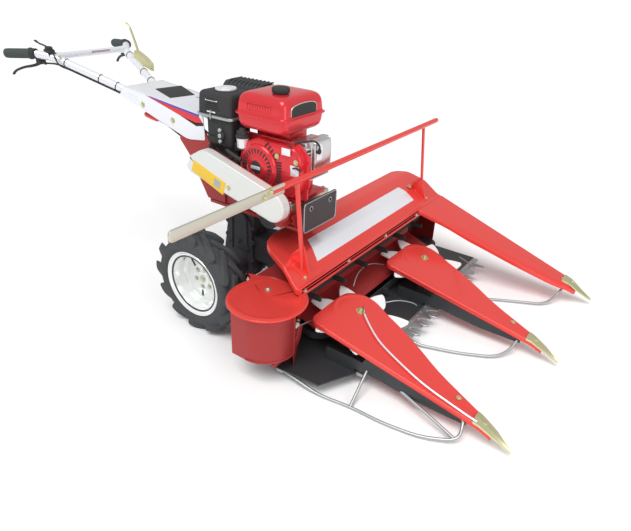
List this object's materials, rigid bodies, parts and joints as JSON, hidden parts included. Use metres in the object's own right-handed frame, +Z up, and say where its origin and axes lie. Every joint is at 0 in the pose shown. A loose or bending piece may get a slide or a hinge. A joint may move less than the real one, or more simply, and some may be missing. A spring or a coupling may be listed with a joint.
{
  "type": "walk-behind reaper",
  "caption": "Hand reaper with lugged wheels, small engine, handlebars and a cutting header with dividers, star wheels, belts and a sliding knife.",
  "frame": {"origin": "middle of the bounding box, on the ground", "axes": "+X is the way of travel, +Y is to the left, +Z is up"},
  "size_m": [2.2894, 1.592, 1.0125],
  "materials": {
    "red_paint": "gloss",
    "dark_red_paint": "satin",
    "engine_red": "gloss",
    "white_paint": "gloss",
    "cream_paint": "satin",
    "black_paint": "satin",
    "cast_black": "rough",
    "zinc_steel": "satin",
    "yellow_zinc": "satin",
    "bare_steel": "satin",
    "alloy": "rough",
    "black_plastic": "matte",
    "belt_rubber": "matte",
    "grip_rubber": "matte",
    "tyre_rubber": "matte",
    "rim_white": "gloss",
    "star_white": "gloss"
  },
  "bodies": {
    "chassis": {"air_cleaner": "black_plastic", "bed_frame": "dark_red_paint", "belt_back_plate": "dark_red_paint", "belt_cover": "cream_paint", "belt_drums": "black_paint", "console": "white_paint", "control_box": "black_plastic", "control_cables": "black_plastic", "crossbar": "white_paint", "cylinder_head": "alloy", "divider_cover_left": "red_paint", "divider_cover_middle": "red_paint", "divider_cover_right": "red_paint", "divider_frames": "black_paint", "divider_skids": "bare_steel", "divider_tips": "yellow_zinc", "drive_pulley": "black_paint", "end_cover": "red_paint", "end_guard": "dark_red_paint", "engine_block": "cast_black", "engine_rails": "zinc_steel", "fan_cover": "engine_red", "front_plate": "black_paint", "fuel_cap": "black_plastic", "fuel_tank": "engine_red", "gear_rod": "bare_steel", "gearbox_case": "cast_black", "guide_bar": "red_paint", "guide_extension": "zinc_steel", "guide_posts": "red_paint", "hand_grips": "grip_rubber", "hand_levers": "black_paint", "handle_tubes": "white_paint", "header_cover": "red_paint", "header_floor": "black_paint", "header_frame": "dark_red_paint", "header_mount": "cast_black", "knife_guards": "bare_steel", "lower_belt": "belt_rubber", "muffler": "black_paint", "recoil_starter": "engine_red", "tall_lever": "yellow_zinc", "throttle_lever": "black_paint", "upper_belt": "belt_rubber"},
    "wheel_right": {"rim_right": "rim_white", "tyre_right": "tyre_rubber"},
    "wheel_left": {"rim_left": "rim_white", "tyre_left": "tyre_rubber"},
    "star_right": {"star_wheel_right": "star_white"},
    "star_middle": {"star_wheel_middle": "star_white"},
    "knife": {"knife_bar": "bare_steel"}
  },
  "joints": [
    {"name": "wheel_right_spin", "type": "hinge", "parent": "chassis", "child": "wheel_right", "pos_m": [-0.06032, -0.3555, 0.2], "axis": [0, 1, 0], "continuous": true},
    {"name": "wheel_left_spin", "type": "hinge", "parent": "chassis", "child": "wheel_left", "pos_m": [-0.06032, 0.1715, 0.2], "axis": [0, 1, 0], "continuous": true},
    {"name": "star_right_spin", "type": "hinge", "parent": "chassis", "child": "star_right", "pos_m": [0.51268, -0.125, 0.16758], "axis": [0.1821, 0, 0.9833], "continuous": true},
    {"name": "star_middle_spin", "type": "hinge", "parent": "chassis", "child": "star_middle", "pos_m": [0.51268, 0.406, 0.16758], "axis": [0.1821, 0, 0.9833], "continuous": true},
    {"name": "knife_stroke", "type": "slide", "parent": "chassis", "child": "knife", "axis": [0, 1, 0], "range_m": [-0.025, 0.025]}
  ]
}
